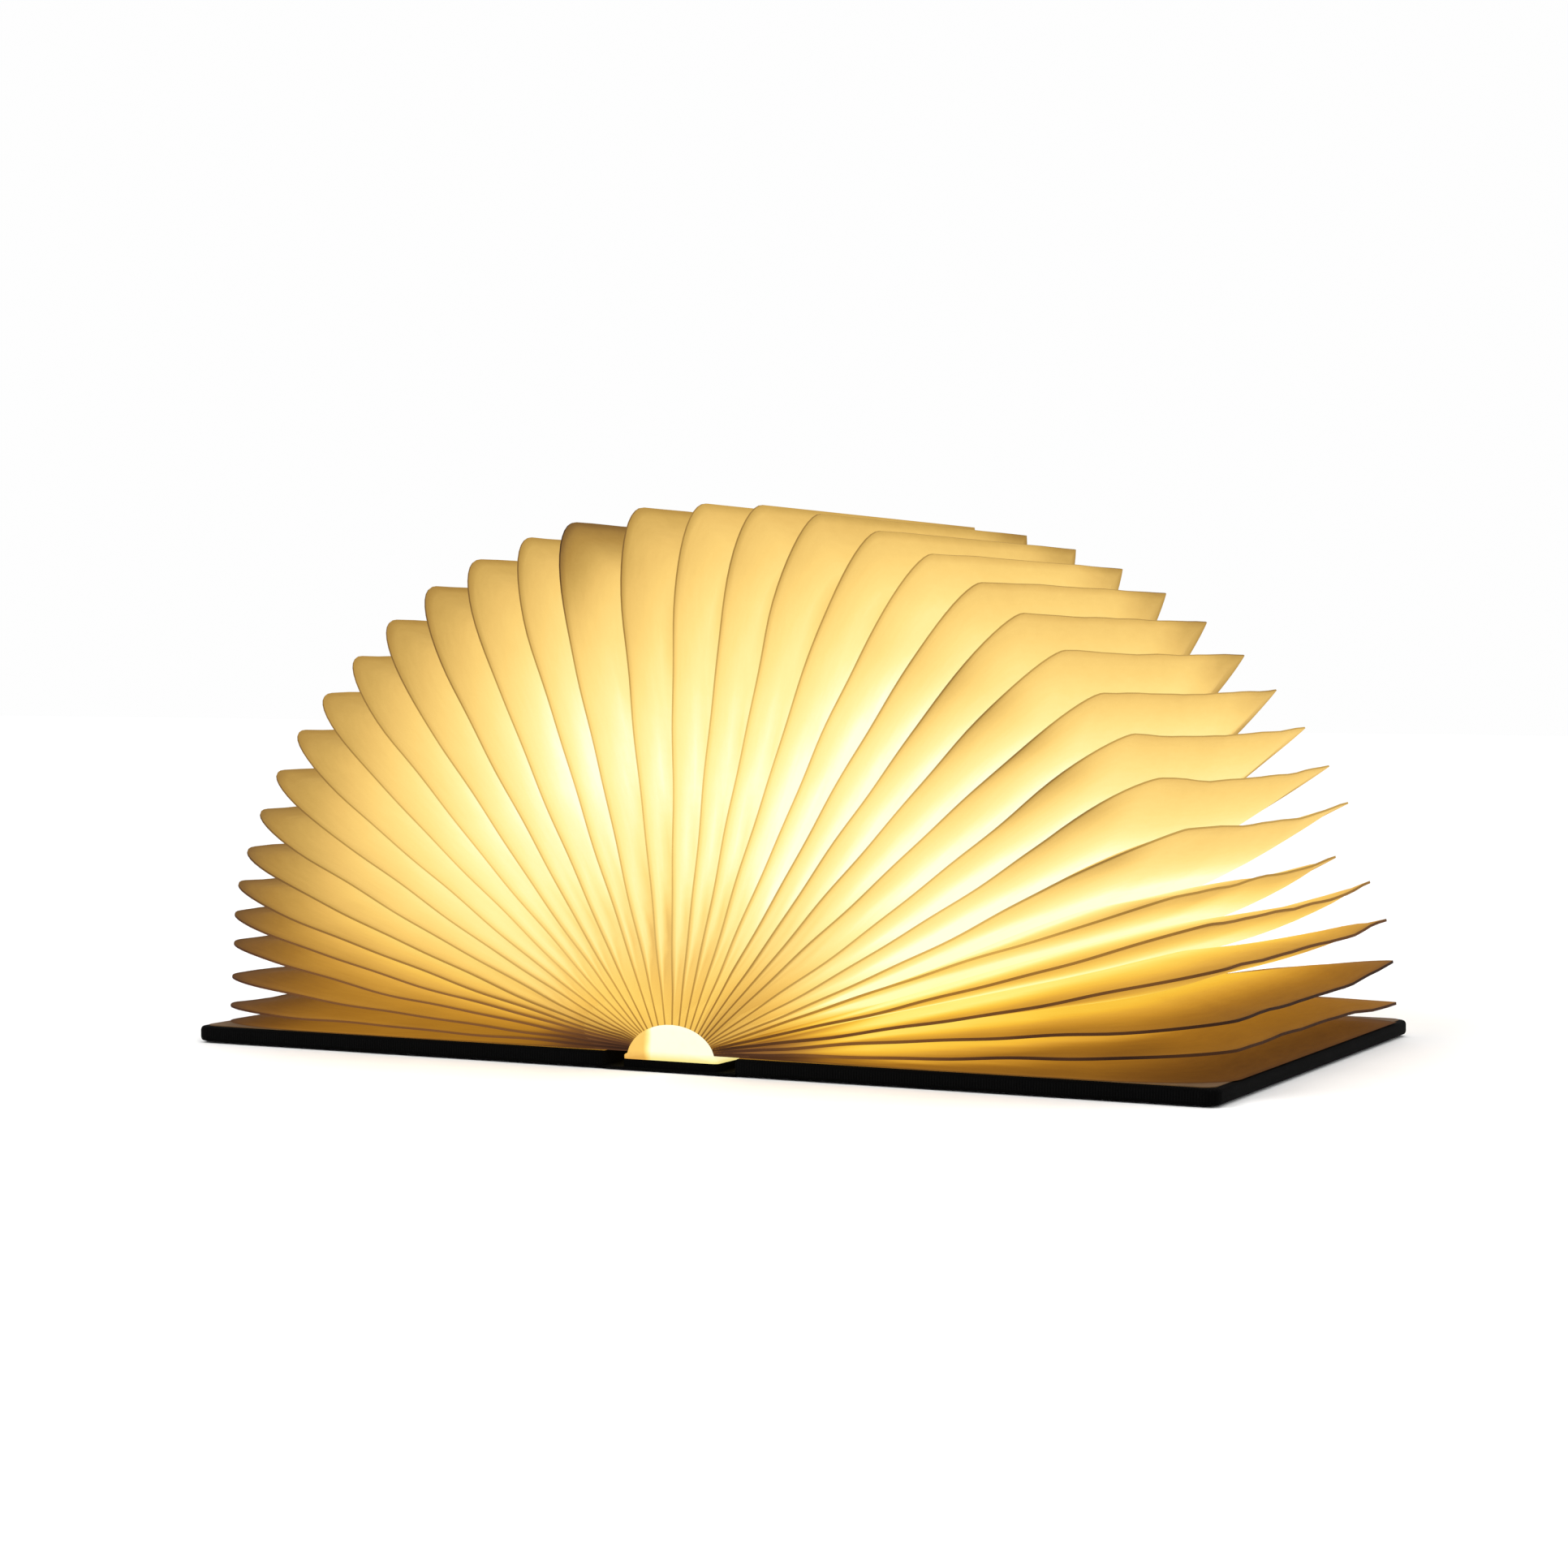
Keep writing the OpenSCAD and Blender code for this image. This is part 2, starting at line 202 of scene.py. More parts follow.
# the lit paper's colours from dark to bright: far from the covers, near them, and the painted
# shade in the greyish corners beside the light bar and on the low leaves' rims
CREAM = [
    (0.00, (36, 22, 12)), (0.12, (88, 60, 30)), (0.24, (134, 100, 50)), (0.36, (176, 138, 68)),
    (0.47, (206, 168, 90)), (0.57, (234, 194, 110)), (0.66, (250, 212, 124)),
    (0.76, (253, 227, 142)), (0.87, (254, 242, 168)), (0.94, (254, 251, 196)),
    (1.00, (255, 255, 228))]
AMBER = [
    (0.00, (34, 20, 8)), (0.12, (80, 48, 18)), (0.24, (124, 80, 26)), (0.36, (162, 110, 32)),
    (0.47, (198, 142, 44)), (0.57, (222, 166, 56)), (0.66, (242, 188, 60)),
    (0.76, (250, 206, 74)), (0.87, (252, 224, 104)), (0.94, (254, 236, 130)),
    (1.00, (255, 248, 160))]
PAINTED_SHADE = [(0.0, (48, 26, 18)), (0.4, (122, 78, 52)), (1.0, (186, 140, 96))]


def paper_material():
    """Glowing paper: its tone and the choice between three ranges of colour come per point."""
    m = Mat("lit_paper", 0.92)
    uv = m.coords("UV")
    fibre = m.noise(m.coords("UV", (0.35, 1.6, 1)), 5.0, 6, 0.62)
    cloud = m.noise(uv, 0.55, 3)
    speck = m.noise(uv, 16.0, 3)
    tone = m.attribute("tone")
    for source, amount in ((fibre, 0.055), (cloud, 0.05), (speck, 0.02)):
        tone = m.stray(tone, source, amount)
    tone = m.math("ADD", tone, 0.0, clamp=True)
    colour = m.mix(m.attribute("warm"), m.ramp(tone, CREAM), m.ramp(tone, AMBER))
    # painted shade: the dusk attribute mixes in the greyish shade colours
    colour = m.mix(m.attribute("dusk"), colour, m.ramp(tone, PAINTED_SHADE))
    m.base(m.dimmed(colour, 0.16)).glow(colour, 0.87)
    m.bump(m.math("ADD", fibre, m.math("MULTIPLY", speck, 0.5)), 0.25, 0.00012)
    m.shine(0.1)
    return m.m


def cloth_material(kind="Object", per=1.0):
    """Black book cloth: a fine plain weave.  per scales its threads to the coordinates."""
    m = Mat("black_cloth_" + kind.lower(), 0.86)
    v = m.coords(kind)
    threads = []
    for axis in ("X", "Y"):
        w = m.new("ShaderNodeTexWave", bands_direction=axis, wave_profile="SIN")
        w.inputs["Scale"].default_value = 620.0 * per
        w.inputs["Distortion"].default_value = 1.2
        w.inputs["Detail"].default_value = 1.5
        w.inputs["Detail Scale"].default_value = 3.0
        m.link(v, w.inputs["Vector"])
        threads.append(w.outputs["Fac"])
    weave = m.math("MULTIPLY", threads[0], threads[1])
    wear = m.noise(v, 38.0 * per, 5)
    shade = m.math("ADD", m.math("MULTIPLY", weave, 0.6), m.math("MULTIPLY", wear, 0.4))
    m.base(m.ramp(shade, [(0.15, (1, 1, 1)), (0.6, (5, 5, 5)), (1.0, (11, 11, 11))]))
    m.bump(weave, 0.5, 0.00008)
    m.shine(0.03)
    return m.m


def plain(name, stops, scale, roughness, metallic=0.0, bump=0.1, stretch=(1, 1, 1)):
    """A mottled surface: noise picks between colours and lifts the surface a little."""
    m = Mat(name, roughness, metallic)
    n = m.noise(m.coords("Object", stretch), scale, 5)
    m.base(m.ramp(n, stops))
    r = m.span(n, 0.3, 0.7, roughness - 0.08, min(1.0, roughness + 0.08))
    m.link(r, m.b.inputs["Roughness"])
    m.bump(n, bump, 0.0001)
    return m


def bar_material():
    """Frosted plastic with the light behind it; painted shade on its -x side, duller towards
    its foot.
    """
    m = Mat("diffuser_glow", 0.45)
    v = m.coords("Object")
    xyz = m.xyz(v)
    x = m.stray(xyz["X"], m.noise(v, 160.0, 2), 0.0022)
    side = m.span(x, -0.0050, -0.0036, 0.50, 1.0)
    foot = m.span(xyz["Z"], 0.0020, 0.0034, 0.76, 1.0)
    t = m.stray(m.math("MULTIPLY", side, foot), m.noise(v, 700.0, 3), 0.05)
    c = m.ramp(t, [(0.3, (222, 158, 70)), (0.52, (248, 202, 100)), (0.76, (255, 238, 150)),
                   (1.0, (255, 255, 224))])
    m.base(m.dimmed(c, 0.15)).glow(c, 0.88)
    m.bump(m.noise(v, 900.0, 3), 0.06, 0.00005)
    m.shine(0.3)
    return m.m


def endpaper_material():
    """Brown paper on a cover's inner face, lit from above by the leaves: painted light, a glow
    brightest near the spine.
    """
    m = Mat("brown_endpaper", 0.9)
    from_spine = m.math("ABSOLUTE", m.xyz(m.coords("Object"))["X"])
    t = m.span(from_spine, 0.014, 0.1, 0.62, 0.2)
    t = m.stray(t, m.noise(m.coords("Object", (18, 3, 1)), 14.0, 4), 0.16)
    fibre = m.noise(m.coords("Object", (1, 2.5, 1)), 900.0, 5)
    t = m.stray(t, fibre, 0.08)
    c = m.ramp(t, [(0.0, (46, 34, 20)), (0.25, (96, 68, 32)), (0.45, (146, 100, 34)),
                   (0.7, (196, 140, 42))])
    m.base(m.dimmed(c, 0.6)).glow(c, 0.4)
    m.bump(fibre, 0.3, 0.0001)
    return m.m


PAPER = paper_material()
CLOTH = cloth_material()
CLOTH_UV = cloth_material("UV", 0.0125)
BAR = bar_material()
ENDPAPER = endpaper_material()
CARD = plain("grey_card", [(0.3, (92, 84, 72)), (0.7, (120, 110, 96))], 240, 0.9, bump=0.3,
             stretch=(1, 3, 1)).m
STEEL = plain("brushed_steel", [(0.3, (150, 152, 156)), (0.7, (196, 198, 202))], 300, 0.32, 1.0,
              0.08, (1, 12, 1)).m
TRAY = plain("white_plastic", [(0.3, (222, 220, 210)), (0.7, (236, 234, 226))], 500, 0.5,
             bump=0.06).m
FOIL = plain("cell_foil", [(0.3, (168, 170, 176)), (0.7, (204, 206, 210))], 120, 0.36, 0.7,
             0.25).m
BOARD_W = plain("white_board", [(0.3, (226, 228, 222)), (0.7, (240, 241, 236))], 350, 0.45,
                bump=0.05).m
BOARD_G = plain("green_board", [(0.3, (12, 58, 30)), (0.6, (20, 78, 42)), (0.75, (30, 96, 54))],
                420, 0.4, bump=0.12).m
DIODE = plain("diode_phosphor", [(0.3, (244, 206, 70)), (0.7, (252, 224, 110))], 900, 0.4,
              bump=0.05).glow(srgb(255, 226, 120), 1.0).m
BLACK = plain("moulded_black", [(0.3, (14, 14, 15)), (0.7, (24, 24, 25))], 600, 0.5, bump=0.1).m
# the far end cap: cream plastic with a faint painted glow
CAP = plain("cream_plastic", [(0.3, (236, 224, 180)), (0.7, (246, 236, 198))], 500, 0.5,
            bump=0.06).glow(srgb(255, 236, 170), 0.25).m

for names, material in (
        ("spine_wrap spine_board cover_wrap_left cover_wrap_right", CLOTH),
        ("hinge_strip_left hinge_strip_right", CLOTH),
        ("cover_board_left cover_board_right", CARD),
        ("endpaper_left endpaper_right", ENDPAPER),
        ("cover_magnets_left cover_magnets_right hub_screws usb_socket", STEEL),
        ("hub_tray", TRAY), ("battery", FOIL), ("led_board", BOARD_W),
        ("control_board", BOARD_G), ("leds", DIODE), ("hall_sensor", BLACK),
        ("end_cap_far", CAP),
        ("diffuser end_cap_near", BAR), ("pleats_left pleats_right", PAPER),
        (" ".join(n for n in nodes if n.startswith("page_")), PAPER)):
    for name in names.split():
        nodes[name].data.materials.clear()
        nodes[name].data.materials.append(material)


# ---- mesh helpers --------------------------------------------------------------------
def mesh_object(name, verts, faces, material, uv=None):
    me = bpy.data.meshes.new(name)
    me.from_pydata([tuple(v) for v in verts], [], [tuple(f) for f in faces])
    me.materials.append(material)
    if uv is not None:
        layer = me.uv_layers.new(name="UVMap")
        loops = np.zeros(len(me.loops), np.int32)
        me.loops.foreach_get("vertex_index", loops)
        layer.data.foreach_set("uv", np.asarray(uv, np.float32)[loops].ravel())
    me.polygons.foreach_set("use_smooth", [True] * len(me.polygons))
    me.update()
    o = bpy.data.objects.new(name, me)
    bpy.context.scene.collection.objects.link(o)
    return o


def point_attribute(o, name, values):
    a = o.data.attributes.new(name, "FLOAT", "POINT")
    a.data.foreach_set("value", np.asarray(values, np.float32).ravel())


# ---- the leaves ----------------------------------------------------------------------
def side(j):
    return -1 if j < MIDDLE else 1


def lean(j):
    """Degrees of leaf j above its own cover."""
    if side(j) > 0:
        return 90 * ((LAST - j) / (LAST - MIDDLE)) ** CROWD_RIGHT
    return 90 * (j / MIDDLE) ** CROWD_LEFT - (GAP_LEAN if j == GAP_LEAF else 0)


def dome_z(x):
    return SPINE_TOP + (BAR_H * math.sqrt(1 - (x / DOME_HALF) ** 2) if abs(x) < DOME_HALF
                        else FOOT_H)


class Leaf:
    def __init__(self, j):
        self.j, self.side, self.lean = j, side(j), lean(j)
        a = math.radians(self.lean)
        closed = LEAF_HALF * (j - LAST / 2) / (LAST / 2)
        d = self.d = HINGE_X - abs(closed)
        self.u = np.array([math.cos(a), math.sin(a)])
        self.n = np.array([-math.sin(a), math.cos(a)])
        self.foot = np.array([HINGE_X, HINGE_Z]) + d * self.n
        self.radius = FAN_TOP + (FAN_SIDE - FAN_TOP) * math.cos(a) - (
            SHORT_BY if j == SHORT_LEAF else 0)
        q = self.foot - [0, FAN_Z]
        along = q @ self.u
        self.rim = math.sqrt(self.radius ** 2 - q @ q + along ** 2) - along
        self.start = dome_z(closed) + 0.6 - HINGE_Z
        # where the leaf's plane meets the light bar: the paper is glued down there
        k = np.array([1 / DOME_HALF, 1 / BAR_H])
        p, v = (self.foot - [0, SPINE_TOP]) * k, self.u * k
        b, c = p @ v, p @ p - 1
        disc = b * b - (v @ v) * c
        self.root = (-b + math.sqrt(disc)) / (v @ v) if disc > 0 else -4.0
        self.root = min(self.root, self.start - 0.5) - 0.1
        self.long = self.stretch()
        self.thick = SEAM_T + (0.24 if self.side > 0 else 0.1) * self.past(34, 8)
        self.bearing = self.lean if self.side < 0 else 180 - self.lean

    def sag(self, s, y):
        """How far the paper stands off the leaf's plane."""
        f = np.clip(s / self.rim, 0, 1)
        leg = smooth(-y, 20, 58)
        if self.lean < 1:
            return 0 * s
        if self.side < 0:
            return (-1.5 * self.between(6, 22, 60, 75) * leg * np.sin(np.pi * f ** 0.65)
                    + 2.3 * self.between(1, 7, 8, 18) * smooth(f, 0.45, 1))
        flat = 0.5 * self.between(1, 2, 5, 9) + 1.1 * self.between(6, 10.5, 12, 24)
        low = self.between(10, 24, 34, 62)
        far = self.between(2, 9, 22, 34)
        h = (-flat * leg * np.sin(np.pi * f)
             - 0.8 * low * (1 - leg) * smooth(f, 0.5, 1) * np.cos(np.pi * y / 104)
             + 1.4 * far * smooth(y, 22, 56) * smooth(f, 0.55, 1)
             - 2.4 * self.between(7, 14, 20.6, 25) * smooth(y, 5, 50)
             * np.sin(np.pi * np.clip((f - 0.25) / 0.75, 0, 1)))
        # the leg hangs a little, then lifts to its corner
        hang = np.sin(np.pi * np.clip(f / 0.78, 0, 1))
        lift = np.sin(np.pi * np.clip((f - 0.78) / 0.32, 0, 1))
        h += leg * (-1.15 * self.between(22, 26, 37, 42) * hang
                    + 1.2 * self.between(26, 30, 31, 42) * lift
                    + 0.5 * self.between(42, 46, 52, 57) * smooth(f, 0.15, 0.55)
                    - 0.8 * self.between(48, 60, 68, 78) * smooth(f, 0.6, 0.9))
        if self.j == SHORT_LEAF:
            h -= 1.5 * smooth(f, 0.4, 0.9) * smooth(-y, -20, 50)
            h -= 0.9 * smooth(f, 0.6, 1) * smooth(y, 0, 45)
        if self.j == LAST - 2:
            h -= 1.6 * smooth(f, 0.3, 1) * smooth(-y, -90, -10)
        if self.j == LAST - 1:
            h -= 1.4 * smooth(f, 0.55, 1) * smooth(y, 5, 50)
        return h

    def past(self, lo, hi):
        """How far the lean is from lo to hi, from 0 to 1; lo may be the larger one."""
        return float(smooth(self.lean, lo, hi))

    def between(self, a, b, c, d):
        """1 for a lean from b to c, and none below a or above d."""
        return self.past(a, b) * self.past(d, c)

    def stretch(self):
        """The leaves in the middle of the left side stand out a little further."""
        if self.side > 0:
            return 0.984 if self.j == SHORT_LEAF + 1 else 1.0
        return 1 + 0.014 * self.between(5, 11, 56, 74) + 0.008 * self.between(10, 14.5, 32, 44)

    def at(self, s, y, off):
        h = off + self.sag(s, y)
        s = s * self.long
        x = self.foot[0] + s * self.u[0] + h * self.n[0]
        z = self.foot[1] + s * self.u[1] + h * self.n[1]
        if self.lean < 12:
            z = np.where(x > BOARD_IN, np.maximum(z, COVER_T + 0.02), z)
        return np.stack([self.side * x, y, z], -1)

    def share(self, s, y, off, rock):
        """Each point's share of its cover's turn: closed, it is back in the leaf's own plane.

        At the light bar the paper is glued down, and there the share is nothing.
        """
        if self.j == MIDDLE:
            return 0 * s
        p = self.at(s, y, off + rock)
        now = np.degrees(np.arctan2(p[:, 2] - HINGE_Z, np.abs(p[:, 0]) - HINGE_X))
        flat = 90 + np.degrees(np.arctan2(self.d + off, s * self.long))
        return (flat - now) / 90 * smooth(s, self.root, self.start)


LEAVES = [Leaf(j) for j in range(LAST + 1)]
N_MARGIN, N_LEG, N_CORNER, N_FORE = 4, 30, 13, 16


def half_outline(leaf, inset, corner_s, corner_y, turn):
    """One end of a leaf, from the hub out along the leg and round the corner: s and y."""
    k = inset / FOLD
    tip = leaf.rim - inset
    a, b = corner_s * (1 - 0.45 * k), corner_y * (1 - 0.3 * k)
    t = np.radians(np.linspace(0, turn, N_CORNER))
    s = np.concatenate([
        np.linspace(leaf.root, leaf.start, N_MARGIN, endpoint=False),
        np.linspace(leaf.start, tip - a, N_LEG, endpoint=False),
        tip - a + a * np.sin(t) / math.sin(math.radians(turn))])
    # at the light bar the folds are glued down flat, so they start from nothing there
    y = LEAF_Y - inset * smooth(s, leaf.start - 0.5, leaf.start + 13)
    y[N_MARGIN + N_LEG:] -= b - b * np.cos(t)
    return s, y


def outline(leaf, inset):
    """Near leg, corner, fore edge, corner, far leg: distances s from the foot, and y."""
    s1, y1 = half_outline(leaf, inset, CORNER_S, CORNER_Y, 90)
    s2, y2 = half_outline(leaf, inset, FAR_CORNER_S, FAR_CORNER_Y, FAR_TURN)
    fore = np.linspace(-y1[-1], y2[-1], N_FORE + 2)[1:-1]
    return (np.concatenate([s1, np.full(N_FORE, leaf.rim - inset), s2[::-1]]),
            np.concatenate([-y1, fore, y2[::-1]]))


# depth into the fold, with two rows of points on the rim so that it keeps its edge
DEPTHS = [0.0, 0.0, 1.5, 3.0, 4.6, 7.0, 10.0, 13.5, 17.0, 20.5, 24.0, 27.0]


# the lit paper's brightness along a leaf, by distance from its foot, and where in degrees of
# lean the colour turns amber
TONE_AT = [0, 11, 20, 35, 50, 65, 78, 90, 104]
TONE_LEFT = [.60, .72, .75, .77, .74, .63, .49, .40, .37]
TONE_RIGHT = [.60, .67, .72, .775, .795, .735, .64, .55, .52]
AMBER_LEFT, AMBER_RIGHT = (32, 2), (36, 12)


def left_tone(leaf, r, s):
    """Brightness of a left leaf at its rim, and how far it rises into the fold."""
    t = np.interp(s, TONE_AT, TONE_LEFT)
    t += 0.07 * leaf.past(56, 68) * smooth(s, 35, 60)
    t -= 0.40 * leaf.past(44, -6) * (1 - 0.3 * smooth(s, 40, 75))
    t -= 0.05 * leaf.past(64, 74) * smooth(r, 0.6, 0.85) * smooth(s, 60, 74)
    rise = leaf.past(1, 14) * (0.37 + 0.09 * leaf.past(36, 22)) * r
    rise -= 0.26 * smooth(r, 0.3, 0.75) * smooth(s, 60, 15) * leaf.past(8, 20)
    rise -= 0.06 * smooth(r, 0.55, 0.8) * smooth(s, 36, 22) * leaf.past(18, 34)
    return t, rise


def right_tone(leaf, r, s, y):
    """The same for a right leaf; these show more of their fore edge."""
    t = np.interp(s, TONE_AT, TONE_RIGHT)
    t -= (0.09 * leaf.past(66, 42)
          + 0.05 * leaf.between(34, 44, 56, 66) * smooth(s, 60, 40))
    t -= 0.11 * leaf.between(2, 8, 13, 24) * smooth(s, 78, 55)
    t -= 0.08 * leaf.between(7, 10.5, 12, 20) * smooth(s, 84, 66)
    # the shade under the ridge where the leaf turns its shoulder, and the paler fore edge
    t -= (0.10 * leaf.between(16, 26, 50, 64) * smooth(s, 55, 74) * smooth(s, 92, 80)
          * smooth(r, 0.4, 0.03))
    t += (0.07 * leaf.between(12, 18, 66, 76)
          + 0.06 * leaf.between(16, 24, 44, 58)) * smooth(s, 78, 88)
    t -= 0.14 * leaf.between(36, 46, 80, 88) * smooth(y, 22, 50) * smooth(s, 70, 90)
    t -= 0.35 * leaf.past(15, 1) * smooth(s, 15, 60) * (1 - 0.2 * smooth(s, 80, 95))
    t -= 0.08 * leaf.past(56, 66) * smooth(r, 0.6, 0.8) * smooth(s, 76, 86)
    if leaf.j == LAST - 1:
        # lit from the side: paler at its end and deep in its fold
        t -= 0.07 * smooth(r, 0.45, 0.15) * smooth(s, 66, 45)
        t += 0.12 * smooth(s, 70, 84) + 0.07 * smooth(r, 0.7, 0.95) * smooth(s, 30, 50)
    if leaf.j == LAST:
        # the leaf on the cover lies in the shade of the one above it
        t -= 0.33 * smooth(s, 72, 8) * (1 - 0.8 * smooth(r, 0.6, 0.95) * smooth(s, 18, 34))
    rise = (0.34 + 0.14 * leaf.between(6, 12, 24, 30)
            + 0.22 * smooth(s, 62, 85) * leaf.between(10, 16, 40, 52))
    rise *= (0.15 + 0.85 * leaf.past(0, 6)) * r ** (1 + 0.9 * leaf.past(10, 3))
    rise -= 0.16 * smooth(r, 0.3, 0.75) * smooth(s, 45, 15) * leaf.past(24, 44)
    return t, rise


def tone_of(leaf, way, d, s, y, rim):
    """Brightness 0..1 of the lit paper, and how amber and how dusky it is.

    It is dullest at the leaf's own rim, and deeper in the fold, counted in widths of the gap
    to the next leaf, more light gets out.  The leaves by the covers are darker and more amber.
    """
    step = abs(LEAVES[min(max(leaf.j + way, 0), LAST)].bearing - leaf.bearing)
    gap = np.maximum(np.radians(max(step, 2.0)) * s, 0.8)
    r = np.clip(d / (1.9 * gap / max(math.sin(math.radians(leaf.lean)), 0.42)), 0, 1)
    left = leaf.side < 0
    t, rise = left_tone(leaf, r, s) if left else right_tone(leaf, r, s, y)
    rise -= 0.17 * smooth(r, 0.55, 0.85) * leaf.past(66, 78)
    rise -= 0.05 * smooth(r, 0.5, 0.8) * smooth(s, 34, 18) * leaf.past(22, 32)
    t += rise * smooth(s, 4, 24)
    warm = smooth(leaf.lean + 0.12 * (s - 20), *(AMBER_LEFT if left else AMBER_RIGHT))
    warm = np.maximum(warm, 0.6 * smooth(s, 24, 6))
    if leaf.j == GAP_LEAF:
        t -= 0.16 * smooth(s, 72, 99) * smooth(r, 0.5, 0.02)
    # grey shade in the corners beside the light bar
    t -= 0.10 * leaf.past(12, 3) * smooth(s, 18, 8)
    dusk = 0.7 * leaf.past(16, 6) * smooth(s, 20, 4)
    if rim:
        low = leaf.past(22, 8)
        t -= 0.17 + 0.04 * smooth(s, 60, 15) * (1 - low) + (-0.07 if left else 0.08) * low
        t -= 0.06 * leaf.past(42, 62)
        dusk = np.maximum(dusk, (0.65 if left else 0.4) * low)
    return np.clip(t, 0.02, 1), warm, dusk


def waver(j, y, s):
    """The glued edge is never quite straight."""
    p = s + np.abs(y)
    return 0.10 * np.sin(p * 0.17 + j * 1.7) + 0.07 * np.sin(p * 0.31 + j * 2.9)


def petal(j, ways, name, replaced):
    """One leaf: from the middle of the fold on one side, over its glued rim, to the other."""
    leaf = LEAVES[j]
    rows = []
    if -1 in ways:
        rows += [(-1, i) for i in range(len(DEPTHS) - 1, -1, -1)]
    elif j == MIDDLE:
        rows += [(-1, 0)]      # this half of the upright leaf carries its rim
    if 1 in ways:
        rows += [(1, i) for i in range(len(DEPTHS))]
    verts, tones, warms, dusks, shares, uvs = [], [], [], [], [], []
    for way, i in rows:
        d = DEPTHS[i]
        near = LEAVES[j + way] if 0 <= j + way <= LAST else leaf
        s, y = outline(leaf, d)
        s2, y2 = outline(near, d)
        lam = max(0.0, (d - SEAM_W) / (FOLD - SEAM_W))
        g = 0.5 * lam ** 0.82
        off = (-way * leaf.side) * leaf.thick / 2 * (1 - lam)
        rock = waver(j, y, s) * (1 - lam) ** 2 * smooth(s, leaf.start, leaf.start + 8)
        if j in (0, LAST):
            off, rock = 0.04, 0 * s
        a = leaf.at(s, y, off + rock)
        b = near.at(s2, y2, 0.0)
        verts.append((1 - g) * a + g * b)
        shares.append((1 - g) * leaf.share(s, y, off, rock) + g * near.share(s2, y2, 0.0, 0.0))
        t, wm, dk = tone_of(leaf, way, d, s, y, i == 0)
        if i == 1:      # a little shade along the fold beside the rim
            t = t - 0.04 - 0.10 * smooth(s, 44, 18) - 0.045 * leaf.past(42, 62)
        tones.append(t)
        warms.append(wm)
        dusks.append(dk)
        run = np.concatenate([[0], np.cumsum(np.hypot(np.diff(s), np.diff(y)))])
        uvs.append(np.stack([run / 10, np.full(len(s), way * d / 10 + 7.3 * j)], -1))
    n = len(verts[0])
    faces = []
    for r in range(len(rows) - 1):
        (w0, i0), (w1, i1) = rows[r], rows[r + 1]
        if w0 == w1 and DEPTHS[i0] == DEPTHS[i1]:
            continue    # the doubled row: no face between a point and its copy
        for c in range(n - 1):
            p = r * n + c
            faces.append((p, p + 1, p + n + 1, p + n))
    o = mesh_object(name, np.concatenate(verts) * MM, faces, PAPER, np.concatenate(uvs))
    for key, values in (("tone", tones), ("warm", warms), ("dusk", dusks)):
        point_attribute(o, key, np.concatenate(values))
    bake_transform(o)
    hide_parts(replaced)


for j in range(LAST + 1):
    tag = f"leaf_paper_{j:02d}"
    if j == 0:
        petal(j, (1,), tag, "pleats_left")
    elif j == LAST:
        petal(j, (-1,), tag, "pleats_right")
    elif j == MIDDLE:
        petal(j, (-1,), tag + "_left", "page_18")
        petal(j, (1,), tag + "_right", "page_18")
    else:
        petal(j, (-1, 1), tag, f"page_{j:02d}")


# ---- covers --------------------------------------------------------------------------
def rounded_plate(x0, x1, y, r, inset):
    """Ring of points round a plate: square at x0, rounded at its two outer corners."""
    x1, y, r = x1 - inset, y - inset, max(r - inset, 0.25)
    inner, along, corner, outer = 12, 17, 6, 13      # pieces of each edge and each corner
    ring = []
    for i in range(inner + 1):
        ring.append((x0, y - 2 * y * i / inner))
    for i in range(1, along):
        ring.append((x0 + (x1 - r - x0) * i / along, -y))
    for i in range(corner + 1):
        a = math.radians(-90 + 90 * i / corner)
        ring.append((x1 - r + r * math.cos(a), -y + r + r * math.sin(a)))
    for i in range(1, outer):
        ring.append((x1, -y + r + (2 * y - 2 * r) * i / outer))
    for i in range(corner + 1):
        a = math.radians(90 * i / corner)
        ring.append((x1 - r + r * math.cos(a), y - r + r * math.sin(a)))
    for i in range(1, along):
        ring.append((x1 - r - (x1 - r - x0) * i / along, y))
    return ring


def cover_case(s, name, body, node):
    """Cloth drawn over the board: soft edges, turned in on top."""
    # distance in from the edge, and height, from underneath to the end of the turn-in
    levels = [(1.1, 0.0), (0.62, 0.05), (0.28, 0.2), (0.08, 0.46), (0.0, 0.85), (0.0, 2.1),
              (0.08, 2.5), (0.3, 2.77), (0.66, 2.91), (1.15, WRAP_TOP), (3.0, WRAP_TOP),
              (7.0, 2.94), (TURN_IN - 0.15, 2.93), (TURN_IN, 2.76)]
    rings = [rounded_plate(BOARD_IN - 0.2, OPEN_HALF, COVER_HALF_L, COVER_R, inset)
             for inset, _ in levels]
    n = len(rings[0])
    verts = [(s * x, y, z) for ring, (_, z) in zip(rings, levels) for x, y in ring]
    faces = []
    for k in range(len(levels) - 1):
        for i in range(n):
            a, b = k * n + i, k * n + (i + 1) % n
            faces.append((a, b, b + n, a + n) if s > 0 else (a, a + n, b + n, b))
    bottom = list(range(n))
    faces.append(tuple(reversed(bottom)) if s > 0 else tuple(bottom))
    o = mesh_object(name, np.array(verts) * MM, faces, CLOTH)
    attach(o, body)
    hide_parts(node)


cover_case(-1, "cover_case_left", "left_cover", "cover_wrap_left")
cover_case(1, "cover_case_right", "right_cover", "cover_wrap_right")


